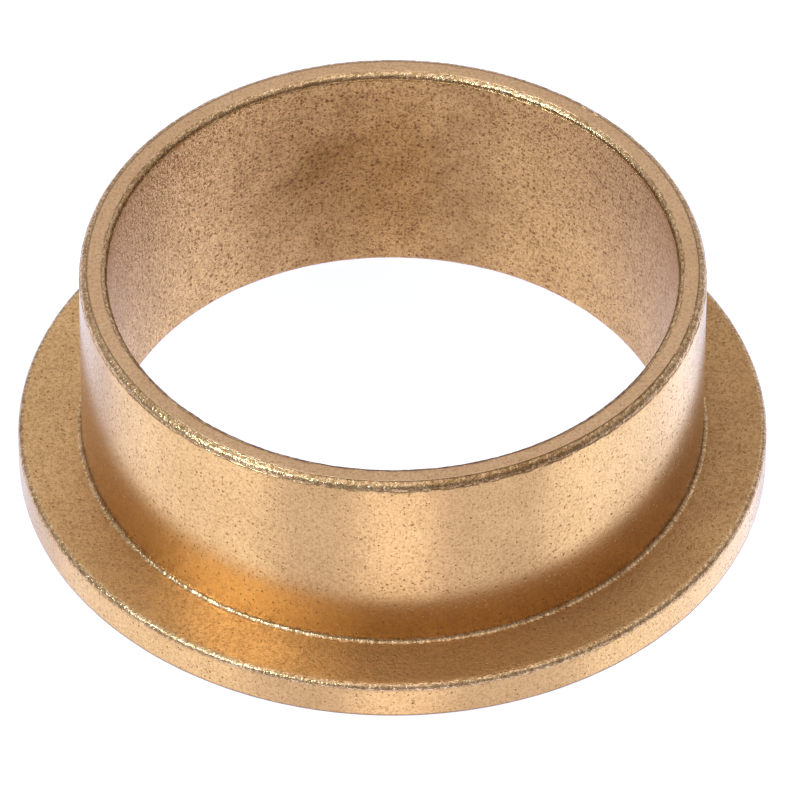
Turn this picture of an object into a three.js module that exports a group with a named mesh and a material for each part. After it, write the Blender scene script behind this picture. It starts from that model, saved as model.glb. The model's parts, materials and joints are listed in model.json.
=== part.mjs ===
// A flanged sleeve bushing in sintered bronze: a thin-walled sleeve with a flat flange round its foot,
// pressed and sintered as one piece. Millimetres, +Z up. The origin is on the bore's axis, in the
// plane of the flange's underside, where the bushing stands on a flat surface.
import * as THREE from "three";

// Driving dimensions.
const BORE_DIAMETER = 40;
const SLEEVE_DIAMETER = 44;
const FLANGE_DIAMETER = 53;
const TOTAL_LENGTH = 18;
const FLANGE_THICKNESS = 3;

// Each broken edge is a 45 degree chamfer of this width.
const RIM_OUTER_CHAMFER = 0.5;
const RIM_INNER_CHAMFER = 0.4;
const FLANGE_TOP_CHAMFER = 0.4;
const FLANGE_FOOT_CHAMFER = 0.2;
const BORE_FOOT_CHAMFER = 0.2;

// Radius of the corner between the sleeve and the flange.
const CORNER_FILLET = 0.3;

// Fineness of the round faces. A fillet gets two straight stretches for each division.
const SEGMENTS_ROUND_AXIS = 96;
const FILLET_DIVISIONS = 2;

const BORE_RADIUS = BORE_DIAMETER / 2;
const SLEEVE_RADIUS = SLEEVE_DIAMETER / 2;
const FLANGE_RADIUS = FLANGE_DIAMETER / 2;

const bronze = new THREE.MeshStandardMaterial({
  name: "sintered_bronze",
  color: 0xcf9f68,
  roughness: 0.35,
  metalness: 1.0,
});

// The wall's section on one side of the axis: x is the radius and y the height. It runs
// anticlockwise from the flange's underside and closes on itself.
function wallSection() {
  const section = new THREE.Path();
  section.moveTo(FLANGE_RADIUS - FLANGE_FOOT_CHAMFER, 0);
  section.lineTo(FLANGE_RADIUS, FLANGE_FOOT_CHAMFER);
  section.lineTo(FLANGE_RADIUS, FLANGE_THICKNESS - FLANGE_TOP_CHAMFER);
  section.lineTo(FLANGE_RADIUS - FLANGE_TOP_CHAMFER, FLANGE_THICKNESS);
  section.lineTo(SLEEVE_RADIUS + CORNER_FILLET, FLANGE_THICKNESS);
  section.absarc(
    SLEEVE_RADIUS + CORNER_FILLET,
    FLANGE_THICKNESS + CORNER_FILLET,
    CORNER_FILLET,
    -Math.PI / 2,
    -Math.PI,
    true,
  );
  section.lineTo(SLEEVE_RADIUS, TOTAL_LENGTH - RIM_OUTER_CHAMFER);
  section.lineTo(SLEEVE_RADIUS - RIM_OUTER_CHAMFER, TOTAL_LENGTH);
  section.lineTo(BORE_RADIUS + RIM_INNER_CHAMFER, TOTAL_LENGTH);
  section.lineTo(BORE_RADIUS, TOTAL_LENGTH - RIM_INNER_CHAMFER);
  section.lineTo(BORE_RADIUS, BORE_FOOT_CHAMFER);
  section.lineTo(BORE_RADIUS + BORE_FOOT_CHAMFER, 0);
  section.closePath();
  return section.getPoints(FILLET_DIVISIONS);
}

// The section turned about the bore's axis, then stood up so that the axis is +Z.
function flangedBushing() {
  const geometry = new THREE.LatheGeometry(wallSection(), SEGMENTS_ROUND_AXIS);
  const mesh = new THREE.Mesh(geometry, bronze);
  mesh.name = "flanged_bushing";
  mesh.rotation.x = Math.PI / 2;
  return mesh;
}

const bushing = new THREE.Group();
bushing.add(flangedBushing());

export default bushing;
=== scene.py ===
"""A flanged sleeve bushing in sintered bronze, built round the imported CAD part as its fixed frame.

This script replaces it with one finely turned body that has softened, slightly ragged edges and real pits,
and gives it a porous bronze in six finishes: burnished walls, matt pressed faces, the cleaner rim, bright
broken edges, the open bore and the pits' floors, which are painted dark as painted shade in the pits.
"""

import json
import math
from typing import NamedTuple

import bpy
import numpy as np
from mathutils import Matrix, Vector


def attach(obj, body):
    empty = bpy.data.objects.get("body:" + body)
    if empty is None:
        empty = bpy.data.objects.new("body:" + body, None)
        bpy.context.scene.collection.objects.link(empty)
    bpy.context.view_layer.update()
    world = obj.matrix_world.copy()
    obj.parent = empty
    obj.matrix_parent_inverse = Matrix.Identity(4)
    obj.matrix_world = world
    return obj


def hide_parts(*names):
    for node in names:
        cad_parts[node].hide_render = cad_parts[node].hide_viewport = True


MM = 0.001
NODE = "flanged_bushing"
SEED = 40

# Fineness of the turned body, in divisions round the axis, and in millimetres along the section.
COARSE = 384
FINE = 768
WALL_STEP = 0.4
FACE_STEP = 0.4
UNDERSIDE_STEP = 0.8
RIM_STEP = 0.28
CORNER_ROWS = 4

# In millimetres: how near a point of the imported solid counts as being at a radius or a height, and how
# far above the flange the corner's round has surely ended.
MATCH = 0.01
CLEAR_OF_CORNER = 1.0

# In millimetres: the radius that softens a flat edge's borders, and how far a face's own strips stay
# from its ends.
EDGE_SOFTENING = 0.18
TRANSITION = 0.16

# The rise of a quarter round as a share of its chord, where a softened border bends as a share of the
# softening, and how far points may stray as a share of their cell.
ROUND_RISE = 0.207
SOFT_BEND = 0.27
STRAY = 0.3

# How ragged a face's first border and the corner are, and an edge's first border as a share of the edge.
FACE_RAGGED = 0.3
CORNER_RAGGED = 0.4
FIRST_RAGGED = 0.7

# Finishes, in the order of the body's material slots.
BURNISHED, PRESSED, RIM, BROKEN, BORE, PIT = range(6)

# Each broken edge: the strips across it, how ragged it is, how round it is from 0 to 1, its finish and
# its divisions round the axis.
EDGES = {
    "flange_foot": (2, 0.5, 0.0, PRESSED, COARSE),
    "flange_top": (6, 0.55, 1.0, BROKEN, FINE),
    "rim_outer": (6, 0.8, 0.8, BROKEN, FINE),
    "rim_inner": (5, 0.75, 0.8, BROKEN, FINE),
    "bore_foot": (2, 0.5, 0.0, PRESSED, COARSE),
}

# Each face: the width of its strips, its divisions round the axis, its finish and the share of its
# cells that get a pit.
FACES = {
    "underside": (UNDERSIDE_STEP, COARSE, PRESSED, 0.08),
    "flange_wall": (WALL_STEP, COARSE, BURNISHED, 0.05),
    "flange_top": (FACE_STEP, COARSE, PRESSED, 0.08),
    "sleeve_wall": (WALL_STEP, COARSE, BURNISHED, 0.05),
    "rim": (RIM_STEP, FINE, RIM, 0.02),
    "bore_wall": (WALL_STEP, COARSE, BORE, 0.10),
}

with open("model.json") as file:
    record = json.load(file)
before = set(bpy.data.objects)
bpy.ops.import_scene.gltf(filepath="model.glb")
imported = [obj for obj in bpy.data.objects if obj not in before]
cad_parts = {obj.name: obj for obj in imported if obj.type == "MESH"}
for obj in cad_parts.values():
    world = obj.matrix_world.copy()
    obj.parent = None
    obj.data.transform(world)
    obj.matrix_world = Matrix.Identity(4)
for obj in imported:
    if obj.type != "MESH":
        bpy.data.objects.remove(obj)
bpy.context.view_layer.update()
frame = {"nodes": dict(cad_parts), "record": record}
rng = np.random.default_rng(SEED)


# ---------------------------------------------------------------------------------------------- sizes


def cad_rings():
    """(radius, height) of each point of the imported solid, in millimetres."""
    points = np.array([v.co[:] for v in frame["nodes"][NODE].data.vertices]) / MM
    return np.round(np.column_stack([np.hypot(points[:, 0], points[:, 1]), points[:, 2]]), 3)


def radii_at(rings, height):
    """The smallest and the largest radius that the solid has at a height."""
    level = rings[np.abs(rings[:, 1] - height) < MATCH, 0]
    return level.min(), level.max()


def heights_at(rings, radius):
    """The lowest and the highest point that the solid has at a radius."""
    level = rings[np.abs(rings[:, 0] - radius) < MATCH, 1]
    return level.min(), level.max()


def section_corners():
    """The start and the end of each of the section's straight faces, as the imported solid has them."""
    rings = cad_rings()
    mounts = {m["name"]: m for m in frame["record"]["mounts"]}
    shoulder = mounts["flange_shoulder"]["pos_m"][2] / MM
    end = rings[:, 1].max()
    flange = rings[:, 0].max()
    bore = rings[:, 0].min()
    under_in, under_out = radii_at(rings, 0.0)
    top_in, top_out = radii_at(rings, shoulder)
    rim_in, rim_out = radii_at(rings, end)
    flange_low, flange_high = heights_at(rings, flange)
    bore_low, bore_high = heights_at(rings, bore)
    above = rings[rings[:, 1] > shoulder + CLEAR_OF_CORNER]
    sleeve = above[:, 0].max()
    sleeve_low, sleeve_high = heights_at(rings, sleeve)
    return {
        "underside": ((under_in, 0.0), (under_out, 0.0)),
        "flange_wall": ((flange, flange_low), (flange, flange_high)),
        "flange_top": ((top_out, shoulder), (top_in, shoulder)),
        "sleeve_wall": ((sleeve, sleeve_low), (sleeve, sleeve_high)),
        "rim": ((rim_out, end), (rim_in, end)),
        "bore_wall": ((bore, bore_high), (bore, bore_low)),
    }


# -------------------------------------------------------------------------------------- wall section


class Station(NamedTuple):
    """One point of the wall's section, in millimetres. The finish and the share of cells with a pit are
    those of the strip that follows, and stray is how far its points may slide along the face."""

    radius: float
    height: float
    divisions: int
    finish: int
    ragged: float
    pits: float
    stray: float


class Section:
    """Stations along the wall's section, anticlockwise."""

    def __init__(self):
        self.stations = []

    def add(self, point, divisions, finish, ragged=0.0, pits=0.0, stray=0.0):
        self.stations.append(Station(point[0], point[1], divisions, finish, ragged, pits, stray))

    def face(self, start, end, step, divisions, finish, pits):
        """A straight face, in strips of about one step. Its end is where the next part starts."""
        start, end = np.array(start), np.array(end)
        length = np.linalg.norm(end - start)
        along = (end - start) / length
        inner = length - 2 * TRANSITION
        count = max(1, round(inner / step))
        self.add(start, FINE, finish, FACE_RAGGED)
        for i in range(count):
            at = TRANSITION + inner * i / count
            stray = STRAY * inner / count if i > 0 else 0.0
            self.add(start + along * at, divisions, finish, 0.0, pits, stray)
        self.add(end - along * TRANSITION, divisions, finish)

    def broken_edge(self, start, end, before, after, rows, ragged, bulge, finish, divisions):
        """A broken edge from start to end: a flat at 45 degrees where bulge is 0, and a full round that
        runs into both its neighbours where it is 1. The borders of a flat are softened too."""
        start, end = np.array(start), np.array(end)
        along = (end - start) / np.linalg.norm(end - start)
        outward = np.array([along[1], -along[0]])
        rise = bulge * ROUND_RISE * np.linalg.norm(end - start)
        soft = (1 - bulge) * EDGE_SOFTENING * math.tan(math.pi / 8)
        self.add(start - np.array(before) * soft, divisions, finish, FIRST_RAGGED * ragged)
        if soft > 0:
            self.add(start + (along - np.array(before)) * soft * SOFT_BEND, divisions, finish, ragged)
        for i in range(rows + 1):
            share = i / rows
            at = start + along * soft + (end - start - 2 * along * soft) * share
            if soft > 0 or 0 < i < rows:
                self.add(at + outward * rise * 4 * share * (1 - share), divisions, finish, ragged)
        if soft > 0:
            self.add(end + (np.array(after) - along) * soft * SOFT_BEND, divisions, finish, ragged)

    def fillet(self, start, end, centre, rows):
        """A hollow quarter round between two faces."""
        first = math.atan2(start[1] - centre[1], start[0] - centre[0])
        last = math.atan2(end[1] - centre[1], end[0] - centre[0])
        turn = (last - first + math.pi) % (2 * math.pi) - math.pi
        size = math.hypot(start[0] - centre[0], start[1] - centre[1])
        for i in range(rows):
            angle = first + turn * i / rows
            point = (centre[0] + size * math.cos(angle), centre[1] + size * math.sin(angle))
            self.add(point, FINE, BROKEN, CORNER_RAGGED)


def wall_section():
    """The whole section, anticlockwise from the flange's foot."""
    corners = section_corners()
    up, down, inward, outward = (0, 1), (0, -1), (-1, 0), (1, 0)
    under_in, under_out = corners["underside"]
    flange_low, flange_high = corners["flange_wall"]
    top_out, top_in = corners["flange_top"]
    sleeve_low, sleeve_high = corners["sleeve_wall"]
    rim_out, rim_in = corners["rim"]
    bore_high, bore_low = corners["bore_wall"]
    section = Section()
    section.broken_edge(under_out, flange_low, outward, up, *EDGES["flange_foot"])
    section.face(flange_low, flange_high, *FACES["flange_wall"])
    section.broken_edge(flange_high, top_out, up, inward, *EDGES["flange_top"])
    section.face(top_out, top_in, *FACES["flange_top"])
    section.fillet(top_in, sleeve_low, (top_in[0], sleeve_low[1]), CORNER_ROWS)
    section.face(sleeve_low, sleeve_high, *FACES["sleeve_wall"])
    section.broken_edge(sleeve_high, rim_out, up, inward, *EDGES["rim_outer"])
    section.face(rim_out, rim_in, *FACES["rim"])
    section.broken_edge(rim_in, bore_high, inward, down, *EDGES["rim_inner"])
    section.face(bore_high, bore_low, *FACES["bore_wall"])
    section.broken_edge(bore_low, under_in, down, outward, *EDGES["bore_foot"])
    section.face(under_in, under_out, *FACES["underside"])
    return section.stations


# ----------------------------------------------------------------------------------------- turned body

# A ragged edge's depth in millimetres. Fine grains and wide lumps wear it, and each has a share and a
# number of times that its noise is smoothed.
RAGGED_DEPTH = 0.075
GRAIN_SHARE = 0.7
GRAIN_PASSES = 1
LUMP_SHARE = 0.5
LUMP_PASSES = 12

# A pit's radius and depth in millimetres, its largest radius as a share of its cell, its least distance
# from the cell's sides and its corners' distances in radii, and its greatest turn in radians.
PIT_RADIUS = (0.05, 0.11)
PIT_DEPTH = (0.008, 0.03)
PIT_FIT = 0.4
PIT_MARGIN = 1.1
PIT_REACH = (0.7, 1.0)
PIT_TURN = 0.35


def smooth_noise(count, passes):
    """Seeded noise round a ring, about 0 to 1, whose grains are a few divisions wide."""
    noise = rng.random(count)
    for _ in range(passes):
        noise = 0.5 * noise + 0.25 * np.roll(noise, 1) + 0.25 * np.roll(noise, -1)
    spread = noise.max() - noise.min()
    return (noise - noise.min()) / spread


def outward_normals(stations):
    """The section's outward normal at each station."""
    points = np.array([(station.radius, station.height) for station in stations])
    ahead = np.roll(points, -1, axis=0) - points
    behind = points - np.roll(points, 1, axis=0)
    ahead /= np.linalg.norm(ahead, axis=1)[:, None]
    behind /= np.linalg.norm(behind, axis=1)[:, None]
    along = ahead + behind
    along /= np.linalg.norm(along, axis=1)[:, None]
    return np.column_stack([along[:, 1], -along[:, 0]])


def ring_places(station, normal):
    """One ring of the body as radius, height and angle. A ragged ring is worn inwards, so it never leaves
    the solid, and a straying one only slides along its own face."""
    count = station.divisions
    angle = 2 * math.pi * np.arange(count) / count
    worn = np.zeros(count)
    slid = np.zeros(count)
    if station.ragged > 0:
        grains = smooth_noise(count, GRAIN_PASSES)
        lumps = smooth_noise(count, LUMP_PASSES)
        worn = station.ragged * RAGGED_DEPTH * (GRAIN_SHARE * grains**2 + LUMP_SHARE * lumps)
    if station.stray > 0:
        angle += rng.uniform(-STRAY, STRAY, count) * 2 * math.pi / count
        slid = rng.uniform(-station.stray, station.stray, count)
    r = station.radius - worn * normal[0] - slid * normal[1]
    z = station.height - worn * normal[1] + slid * normal[0]
    return np.column_stack([r, z, angle])


def in_space(places):
    """Points in metres from radius, height and angle."""
    r, z, angle = places[:, 0], places[:, 1], places[:, 2]
    return np.column_stack([r * np.cos(angle), r * np.sin(angle), z]) * MM


def cell_place(places, u, t):
    """The place at shares u across and t up a cell, given its four corners."""
    low = places[0] * (1 - u) + places[1] * u
    high = places[3] * (1 - u) + places[2] * u
    return low * (1 - t) + high * t


class Body:
    """Vertices and faces of the turned body, with a finish and a shading for each face."""

    def __init__(self):
        self.points = []
        self.faces = []
        self.finishes = []
        self.smooth = []

    def add_points(self, points):
        first = len(self.points)
        self.points.extend(map(tuple, points))
        return first

    def add_face(self, corners, finish, smooth=True):
        self.faces.append(corners)
        self.finishes.append(finish)
        self.smooth.append(smooth)

    def even_strip(self, low, high, low_places, high_places, finish, pits):
        """Quads between two rings with as many points each, some of them with a pit."""
        count = len(low_places)
        pitted = rng.random(count) < pits
        for i in range(count):
            j = (i + 1) % count
            corners = (low + i, low + j, high + j, high + i)
            if pitted[i]:
                places = np.array([low_places[i], low_places[j], high_places[j], high_places[i]])
                places[1:3, 2] += 2 * math.pi * (places[1:3, 2] < places[[0, 3], 2] - math.pi)
                self.pit(corners, places, finish)
            else:
                self.add_face(corners, finish)

    def pit(self, corners, places, finish):
        """A small pit sunk in one quad, with four sides that meet at its floor."""
        low, high = (places[0] + places[1]) / 2, (places[2] + places[3]) / 2
        along = (high - low)[:2]
        height = np.linalg.norm(along)
        width = (places[1:3, 2] - places[[0, 3], 2]).min() * low[0]
        along /= height
        size = min(rng.uniform(*PIT_RADIUS), PIT_FIT * height, PIT_FIT * width)
        margins = [PIT_MARGIN * size / span for span in (width, height)]
        centre = [rng.uniform(margin, 1 - margin) for margin in margins]
        turned = rng.uniform(-PIT_TURN, PIT_TURN)
        spots = []
        for k in range(4):
            # The first corner is at 225 degrees, towards the quad's first.
            angle = turned + math.pi * (1.25 + 0.5 * k)
            reach = size * rng.uniform(*PIT_REACH)
            u = centre[0] + reach * math.cos(angle) / width
            t = centre[1] + reach * math.sin(angle) / height
            spots.append(cell_place(places, u, t))
        floor = cell_place(places, *centre)
        depth = rng.uniform(*PIT_DEPTH)
        floor[:2] -= depth * np.array([along[1], -along[0]])
        first = self.add_points(in_space(np.array(spots + [floor])))
        for k in range(4):
            n = (k + 1) % 4
            self.add_face((corners[k], corners[n], first + n, first + k), finish)
            # The pit's sides take the pit floors' finish, painted dark as painted shade.
            self.add_face((first + k, first + n, first + 4), PIT, smooth=False)

    def uneven_strip(self, low, high, low_count, high_count, finish):
        """Triangles between a ring and one with twice or half as many points."""
        for i in range(min(low_count, high_count)):
            if low_count < high_count:
                a, b = low + i, low + (i + 1) % low_count
                c, d, e = (high + (2 * i + k) % high_count for k in range(3))
                self.add_face((a, d, c), finish)
                self.add_face((a, b, d), finish)
                self.add_face((b, e, d), finish)
            else:
                a, b = high + i, high + (i + 1) % high_count
                c, d, e = (low + (2 * i + k) % low_count for k in range(3))
                self.add_face((c, d, a), finish)
                self.add_face((d, b, a), finish)
                self.add_face((d, e, b), finish)


def turned_body():
    """The bushing as one closed mesh object."""
    stations = wall_section()
    normals = outward_normals(stations)
    body = Body()
    places = [ring_places(station, normal) for station, normal in zip(stations, normals)]
    rings = [body.add_points(in_space(ring)) for ring in places]
    for k, low in enumerate(stations):
        n = (k + 1) % len(stations)
        high = stations[n]
        if low.divisions == high.divisions:
            body.even_strip(rings[k], rings[n], places[k], places[n], low.finish, low.pits)
        else:
            body.uneven_strip(rings[k], rings[n], low.divisions, high.divisions, low.finish)
    mesh = bpy.data.meshes.new("bushing_body")
    mesh.from_pydata(body.points, [], body.faces)
    mesh.polygons.foreach_set("material_index", body.finishes)
    mesh.polygons.foreach_set("use_smooth", body.smooth)
    mesh.validate()
    mesh.update()
    piece = bpy.data.objects.new("bushing_body", mesh)
    bpy.context.scene.collection.objects.link(piece)
    return piece


# ------------------------------------------------------------------------------------------- materials


class Nodes:
    """A short way to write a node tree: each call adds a node and returns its output."""

    def __init__(self, tree):
        self.tree = tree

    def add(self, kind, inputs=None, output=0, **settings):
        node = self.tree.nodes.new(kind)
        for name, value in settings.items():
            setattr(node, name, value)
        for name, value in (inputs or {}).items():
            self.feed(node.inputs[name], value)
        return node.outputs[output]

    def feed(self, socket, value):
        if isinstance(value, bpy.types.NodeSocket):
            self.tree.links.new(value, socket)
        else:
            socket.default_value = value

    def math(self, operation, a, b=0.0, clamp=False):
        return self.add("ShaderNodeMath", {0: a, 1: b}, operation=operation, use_clamp=clamp)

    def scaled(self, vector, factors):
        return self.add("ShaderNodeVectorMath", {0: vector, 1: factors}, operation="MULTIPLY")

    def noise(self, vector, size, detail=2.0, roughness=0.5, output=0):
        """Noise whose grains are about size millimetres wide."""
        inputs = {"Vector": vector, "Scale": 1 / size, "Detail": detail, "Roughness": roughness}
        return self.add("ShaderNodeTexNoise", inputs, output)

    def ramp(self, value, low, high, to_low=0.0, to_high=1.0):
        inputs = {"Value": value, 1: low, 2: high, 3: to_low, 4: to_high}
        return self.add("ShaderNodeMapRange", inputs, interpolation_type="SMOOTHSTEP")

    def mix(self, factor, a, b, blend="MIX"):
        node = self.tree.nodes.new("ShaderNodeMix")
        node.data_type = "RGBA"
        node.blend_type = blend
        self.feed(node.inputs[0], factor)
        self.feed(node.inputs[6], a)
        self.feed(node.inputs[7], b)
        return node.outputs[2]


# A finish's two tones, the dark one reached both at random and as painted shade in the grains' hollows, the
# roughness of its grains' tops and of the hollows between them, two layers of pores as pores() takes them,
# the size and the height of its fine and its coarse grain in millimetres, and the relief at which hollows
# end and tops begin.
FINISHES = {
    "burnished_walls": {
        "light": (0.62, 0.380, 0.173, 1),
        "dark": (0.42, 0.240, 0.096, 1),
        "roughness": (0.20, 0.26),
        "pore_layers": ((0.20, -0.04, 0.090, 0.55), (0.30, -0.09, 0.118, 0.80)),
        "grain": (0.10, 0.005),
        "coarse_grain": (0.22, 0.004),
        "tops": (0.38, 0.56),
    },
    "pressed_faces": {
        "light": (0.71, 0.432, 0.206, 1),
        "dark": (0.46, 0.256, 0.107, 1),
        "roughness": (0.42, 0.54),
        "pore_layers": ((0.20, -0.04, 0.090, 0.60), (0.30, -0.09, 0.118, 0.85)),
        "grain": (0.11, 0.014),
        "coarse_grain": (0.24, 0.030),
        "tops": (0.38, 0.58),
    },
    "pressed_rim": {
        "light": (0.67, 0.420, 0.244, 1),
        "dark": (0.48, 0.280, 0.145, 1),
        "roughness": (0.40, 0.50),
        "pore_layers": ((0.20, -0.04, 0.080, 0.50), (0.40, -0.25, 0.110, 0.80)),
        "grain": (0.11, 0.010),
        "coarse_grain": (0.24, 0.022),
        "tops": (0.38, 0.58),
    },
    "broken_edges": {
        "light": (0.78, 0.530, 0.310, 1),
        "dark": (0.32, 0.175, 0.070, 1),
        "roughness": (0.15, 0.34),
        "pore_layers": ((0.20, -0.03, 0.080, 0.70), (0.50, -0.14, 0.130, 1.00)),
        "grain": (0.12, 0.022),
        "coarse_grain": (0.30, 0.080),
        "tops": (0.42, 0.60),
    },
    "open_bore": {
        "light": (0.68, 0.412, 0.182, 1),
        "dark": (0.40, 0.224, 0.086, 1),
        "roughness": (0.26, 0.42),
        "pore_layers": ((0.23, 0.00, 0.115, 0.80), (0.36, -0.06, 0.160, 0.95)),
        "grain": (0.12, 0.014),
        "coarse_grain": (0.27, 0.055),
        "tops": (0.38, 0.57),
    },
    # Painted shade: the pits' floors are painted dark brown, a shaded copy of the bronze.
    "pit_floors": {
        "light": (0.34, 0.155, 0.055, 1),
        "dark": (0.22, 0.098, 0.034, 1),
        "roughness": (0.48, 0.60),
        "pore_layers": ((0.20, -0.04, 0.080, 0.50), (0.40, -0.25, 0.110, 0.80)),
        "grain": (0.10, 0.005),
        "coarse_grain": (0.22, 0.004),
        "tops": (0.38, 0.56),
    },
}

# Pores: their colour, painted dark as painted shade in the pores, and depth in millimetres, how far noise
# moves them and how wide their soft border is as shares of a cell, how much of their colour shows, and how
# rough they are.
PORE_PAINTED_SHADE = (0.27, 0.115, 0.036, 1)
PORE_DEPTH = 0.014
PORE_WOBBLE = 0.16
PORE_BORDER = 0.17
PORE_SHADE = 0.8
PORE_ROUGHNESS = 0.5

# Noise in the metal: its roughness, the size in millimetres, detail and contrast of wide clouds, the detail
# of the grain, and how far the clouds and the grain each set the tone; the grain's share paints its hollows
# darker, as painted shade.
NOISE_ROUGHNESS = 0.6
CLOUD_SIZE = 4.0
CLOUD_DETAIL = 4.0
CLOUD_CONTRAST = (0.3, 0.7)
GRAIN_DETAIL = 2.0
CLOUD_TONE = 0.25
RELIEF_TONE_AND_SHADE = 0.75

# Faint upright lines on the burnished walls: their size, depth and detail, and how far they are drawn out.
STREAK_SIZE = 0.16
STREAK_DEPTH = 0.004
STREAK_DETAIL = 3.0
STREAK_DRAWN = (1, 1, 0.03)

# Darkened patches: their tint, the size in millimetres, detail and strength of their ragged border, and
# where the border starts and ends as shares of their reach.
DARKENED_PATCH_TINT = (0.48, 0.395, 0.29, 1)
PATCH_RAG_SIZE = 2.5
PATCH_RAG_DETAIL = 3.0
PATCH_RAGGEDNESS = 0.5
PATCH_BORDER = (0.35, 1.35)

# Where the metal is painted darker: the centre and the reach of each patch in millimetres, its slant and
# its strength. In the bore this is painted shade, a darker reflection on its back wall and its right side;
# elsewhere it darkens the rim's edges at the front right of centre and the flange top's right side.
DARKENED_PATCHES = {
    # Painted shade in the bore: a darker reflection on the back wall, a slanting darker streak, and darker
    # over the right side.
    "open_bore": (
        ((-2.5, 20.0, 8.5), (12.0, 20.0, 15.0), 0.0, 0.80),
        ((-6.0, 20.0, 9.5), (8.0, 20.0, 2.2), math.radians(35), 0.22),
        ((12.0, 16.0, 9.0), (18.0, 25.0, 25.0), 0.0, 0.34),
    ),
    "broken_edges": (((9.5, -20.0, 18.0), (13.0, 13.0, 5.0), 0.0, 0.55),),
    "pressed_faces": (((24.0, 4.0, 3.0), (11.0, 24.0, 20.0), 0.0, 0.52),),
}

# The bore is rougher towards -X: how much its relief is raised there, and how far it is lowered
# towards +X.
ROUGH_SIDE = (-13.0, 3.0, 1.7, 0.9)


def pores(n, place, cell, smallest, largest, strength):
    """0 on sound metal, and the strength in a pore. Pores are soft round spots, at most one in each cell
    of this many millimetres."""
    wobble = n.scaled(n.noise(place, cell, output=1), (cell * PORE_WOBBLE,) * 3)
    spot = n.add("ShaderNodeVectorMath", {0: place, 1: wobble}, operation="ADD")
    inputs = {"Vector": spot, "Scale": 1 / cell, "Randomness": 1.0}
    voronoi = n.tree.nodes.new("ShaderNodeTexVoronoi")
    for name, value in inputs.items():
        n.feed(voronoi.inputs[name], value)
    chance = n.add("ShaderNodeSeparateColor", {0: voronoi.outputs["Color"]})
    reach = n.add("ShaderNodeMapRange", {"Value": chance, 3: smallest / cell, 4: largest / cell})
    inside = n.math("SUBTRACT", reach, voronoi.outputs["Distance"])
    return n.ramp(inside, 0.0, PORE_BORDER, 0.0, strength)


def darkened_patch_mask(n, place, patches):
    """A mask of wide faint patches with a ragged border."""
    noise = n.noise(place, PATCH_RAG_SIZE, PATCH_RAG_DETAIL, NOISE_ROUGHNESS)
    ragged = n.math("MULTIPLY", noise, PATCH_RAGGEDNESS)
    mask = 0.0
    for centre, reach, slant, strength in patches:
        settings = {"Vector": place, "Location": centre, "Rotation": (0, -slant, 0), "Scale": reach}
        inside = n.add("ShaderNodeMapping", settings, vector_type="TEXTURE")
        away = n.add("ShaderNodeVectorMath", {0: inside}, 1, operation="LENGTH")
        patch = n.ramp(n.math("ADD", away, ragged), *PATCH_BORDER, strength, 0.0)
        mask = n.math("ADD", mask, patch, clamp=True)
    return mask


def bronze(name, light, dark, roughness, pore_layers, grain, coarse_grain, tops):
    """One finish of the same sintered bronze. Lengths are in millimetres. The hollows between the grains
    are less glossy than the grains' tops, and are painted darker, as painted shade in the hollows."""
    material = bpy.data.materials.new(name)
    material.use_nodes = True
    tree = material.node_tree
    shader = tree.nodes["Principled BSDF"]
    shader.inputs["Metallic"].default_value = 1.0
    n = Nodes(tree)
    place = n.scaled(n.add("ShaderNodeTexCoord", output=3), (1 / MM,) * 3)

    spots = n.math("MAXIMUM", *(pores(n, place, *layer) for layer in pore_layers))

    cloud = n.ramp(n.noise(place, CLOUD_SIZE, CLOUD_DETAIL, NOISE_ROUGHNESS), *CLOUD_CONTRAST)
    fine = n.noise(place, grain[0], GRAIN_DETAIL, NOISE_ROUGHNESS)
    coarse = n.noise(place, coarse_grain[0], GRAIN_DETAIL, NOISE_ROUGHNESS)
    # Painted shade: where the grain's relief is low, in its hollows, the colour goes towards the dark tone;
    # the clouds vary it at random.
    relief = n.math("ADD", n.math("MULTIPLY", fine, 0.5), n.math("MULTIPLY", coarse, 0.5))
    relief_tone_and_shade = n.math("MULTIPLY", n.ramp(relief, *tops), RELIEF_TONE_AND_SHADE)
    tone = n.math("ADD", n.math("MULTIPLY", cloud, CLOUD_TONE), relief_tone_and_shade)
    metal = n.mix(tone, dark, light)
    # Painted shade: the pores are painted dark brown over the metal.
    colour = n.mix(n.math("MULTIPLY", spots, PORE_SHADE), metal, PORE_PAINTED_SHADE)
    # Painted shade in the bore, and darker patches on the rim's edges and the flange top.
    if name in DARKENED_PATCHES:
        colour = n.mix(darkened_patch_mask(n, place, DARKENED_PATCHES[name]), colour, DARKENED_PATCH_TINT, "MULTIPLY")
    n.feed(shader.inputs["Base Color"], colour)

    gloss = n.add("ShaderNodeMapRange", {"Value": tone, 3: roughness[1], 4: roughness[0]})
    rough_spots = n.math("MULTIPLY", spots, PORE_ROUGHNESS)
    n.feed(shader.inputs["Roughness"], n.math("MAXIMUM", gloss, rough_spots))

    height = n.math("MULTIPLY", spots, -PORE_DEPTH)
    height = n.math("ADD", height, n.math("MULTIPLY", fine, grain[1]))
    height = n.math("ADD", height, n.math("MULTIPLY", coarse, coarse_grain[1]))
    if name == "burnished_walls":
        drawn = n.noise(n.scaled(place, STREAK_DRAWN), STREAK_SIZE, STREAK_DETAIL, NOISE_ROUGHNESS)
        height = n.math("ADD", height, n.math("MULTIPLY", drawn, STREAK_DEPTH))
    if name == "open_bore":
        sideways = n.add("ShaderNodeSeparateXYZ", {0: place}, 0)
        height = n.math("MULTIPLY", height, n.ramp(sideways, *ROUGH_SIDE))
    bump = n.add("ShaderNodeBump", {"Height": height, "Distance": MM, "Strength": 1.0})
    n.feed(shader.inputs["Normal"], bump)
    return material


# ----------------------------------------------------------------------------------- camera and studio

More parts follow.
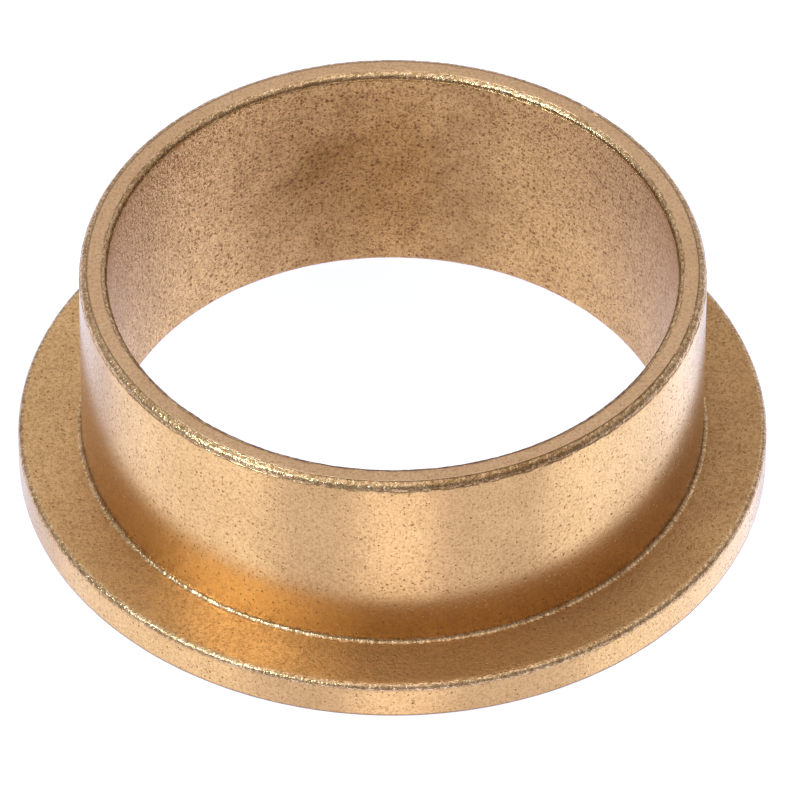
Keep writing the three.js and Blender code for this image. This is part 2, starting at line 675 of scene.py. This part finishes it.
CAMERA_ELEVATION = math.radians(44.06)
CAMERA_DISTANCE = 0.9507
CAMERA_LENS = 613.0
CAMERA_SENSOR = 36.0
CAMERA_CLIP = (0.05, 20.0)
CAMERA_ROLL = math.radians(0.2)
AIM_UP = 4.2 * MM
AIM_RIGHT = 0.07 * MM

FLOOR_REACH = 6.0
FLOOR_DROP = 0.02 * MM
FLOOR_COLOUR = (0.22, 0.22, 0.22, 1)
FLOOR_ROUGHNESS = 0.12
FLOOR_IOR = 1.8
FLOOR_GLOW = (0.74, 0.77, 1, 1)
FLOOR_GLOW_STRENGTH = 1.12

# The room's glow, as a ramp's two ends and the glow at each: it grows with the sine of the height, from
# dim at the horizon, and with the distance behind the bushing. The brighter of the two counts.
DARK_HORIZON = (0.05, 0.50, 0.10, 0.56)
LIGHT_BACK = (0.1, 0.6, 0.0, 0.56)

# Softboxes that light only the bushing, and ones that light only the table, whose reflections the
# bushing's walls show. Each has a name, azimuth, elevation, distance, size and radiance, and most a colour.
BUSHING_LIGHTS = (
    ("key_left", -56, 42, 1.5, (1.0, 0.4), 6.6, (0.62, 0.86, 1.0)),
    ("sparkle", -60, 40, 1.5, (0.36, 0.2), 33, (0.68, 0.88, 1.0)),
    ("overhead", 0, 88, 1.5, (1.3, 1.3), 1.0),
    ("back_fill", 180, 45, 2.0, (2.4, 2.0), 0.42, (0.80, 0.90, 1.0)),
)
TABLE_LIGHTS = (
    ("table_front", 2, 45, 1.5, (0.52, 0.5), 7.2),
    ("table_left", -82, 45, 1.5, (1.6, 0.5), 7.6, (0.76, 0.86, 0.84)),
    ("table_right", 102, 45, 1.5, (1.9, 0.5), 9.0, (0.75, 0.88, 0.98)),
)


def add_camera():
    """A long lens, looking down on the bushing's front."""
    back = Vector((0, -math.cos(CAMERA_ELEVATION), math.sin(CAMERA_ELEVATION)))
    right = Vector((1, 0, 0))
    up = back.cross(right)
    place = back * CAMERA_DISTANCE
    target = up * AIM_UP + right * AIM_RIGHT
    data = bpy.data.cameras.new("camera")
    data.lens = CAMERA_LENS
    data.sensor_width = CAMERA_SENSOR
    data.clip_start, data.clip_end = CAMERA_CLIP
    camera = bpy.data.objects.new("camera", data)
    bpy.context.scene.collection.objects.link(camera)
    look = (target - place).to_track_quat("-Z", "Y").to_matrix().to_4x4()
    camera.matrix_world = Matrix.Translation(place) @ look @ Matrix.Rotation(CAMERA_ROLL, 4, "Z")
    bpy.context.scene.camera = camera


def add_light(name, azimuth, elevation, distance, size, radiance, colour=(1, 1, 1)):
    """A softbox that faces the bushing. azimuth is from the front, positive to the right."""
    a, e = math.radians(azimuth), math.radians(elevation)
    place = Vector((math.sin(a) * math.cos(e), -math.cos(a) * math.cos(e), math.sin(e))) * distance
    data = bpy.data.lights.new(name, "AREA")
    data.shape = "RECTANGLE"
    data.size, data.size_y = size
    data.color = colour
    data.energy = radiance * math.pi * size[0] * size[1]
    light = bpy.data.objects.new(name, data)
    bpy.context.scene.collection.objects.link(light)
    light.location = place
    light.rotation_euler = (-place).to_track_quat("-Z", "Y").to_euler()
    return light


def light_only(lights, receiver):
    """These lights reach one object and nothing else."""
    lit = bpy.data.collections.new("lit_" + receiver.name)
    lit.objects.link(receiver)
    for light in lights:
        light.light_linking.receiver_collection = lit


def add_floor():
    """A large white table with a slight gloss, which glows evenly so that no shadow shows on it."""
    reach = FLOOR_REACH
    corners = [(-reach, -reach), (reach, -reach), (reach, reach), (-reach, reach)]
    mesh = bpy.data.meshes.new("floor")
    mesh.from_pydata([(x, y, -FLOOR_DROP) for x, y in corners], [], [(0, 1, 2, 3)])
    floor = bpy.data.objects.new("floor", mesh)
    bpy.context.scene.collection.objects.link(floor)
    material = bpy.data.materials.new("white_table")
    material.use_nodes = True
    shader = material.node_tree.nodes["Principled BSDF"]
    shader.inputs["Base Color"].default_value = FLOOR_COLOUR
    shader.inputs["Roughness"].default_value = FLOOR_ROUGHNESS
    shader.inputs["IOR"].default_value = FLOOR_IOR
    shader.inputs["Emission Color"].default_value = FLOOR_GLOW
    shader.inputs["Emission Strength"].default_value = FLOOR_GLOW_STRENGTH
    mesh.materials.append(material)
    return floor


def add_studio(bushing, floor):
    """A room that is pale above and behind and dim at the front's horizon, and the two sets of lights."""
    world = bpy.data.worlds.new("studio")
    world.use_nodes = True
    background = world.node_tree.nodes["Background"]
    background.inputs["Color"].default_value = (1, 1, 1, 1)
    n = Nodes(world.node_tree)
    upward = n.add("ShaderNodeSeparateXYZ", {0: n.add("ShaderNodeTexCoord")}, 2)
    backward = n.add("ShaderNodeSeparateXYZ", {0: n.add("ShaderNodeTexCoord")}, 1)
    glow = n.math("MAXIMUM", n.ramp(upward, *DARK_HORIZON), n.ramp(backward, *LIGHT_BACK))
    n.feed(background.inputs["Strength"], glow)
    bpy.context.scene.world = world
    bushing_lights = [add_light(*light) for light in BUSHING_LIGHTS]
    table_lights = [add_light(*light) for light in TABLE_LIGHTS]
    light_only(bushing_lights, bushing)
    light_only(table_lights, floor)
    bpy.context.scene.view_settings.view_transform = "Standard"


add_camera()
bushing = turned_body()
add_studio(bushing, add_floor())
for finish_name, settings in FINISHES.items():
    bushing.data.materials.append(bronze(finish_name, **settings))
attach(bushing, "root")
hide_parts(NODE)
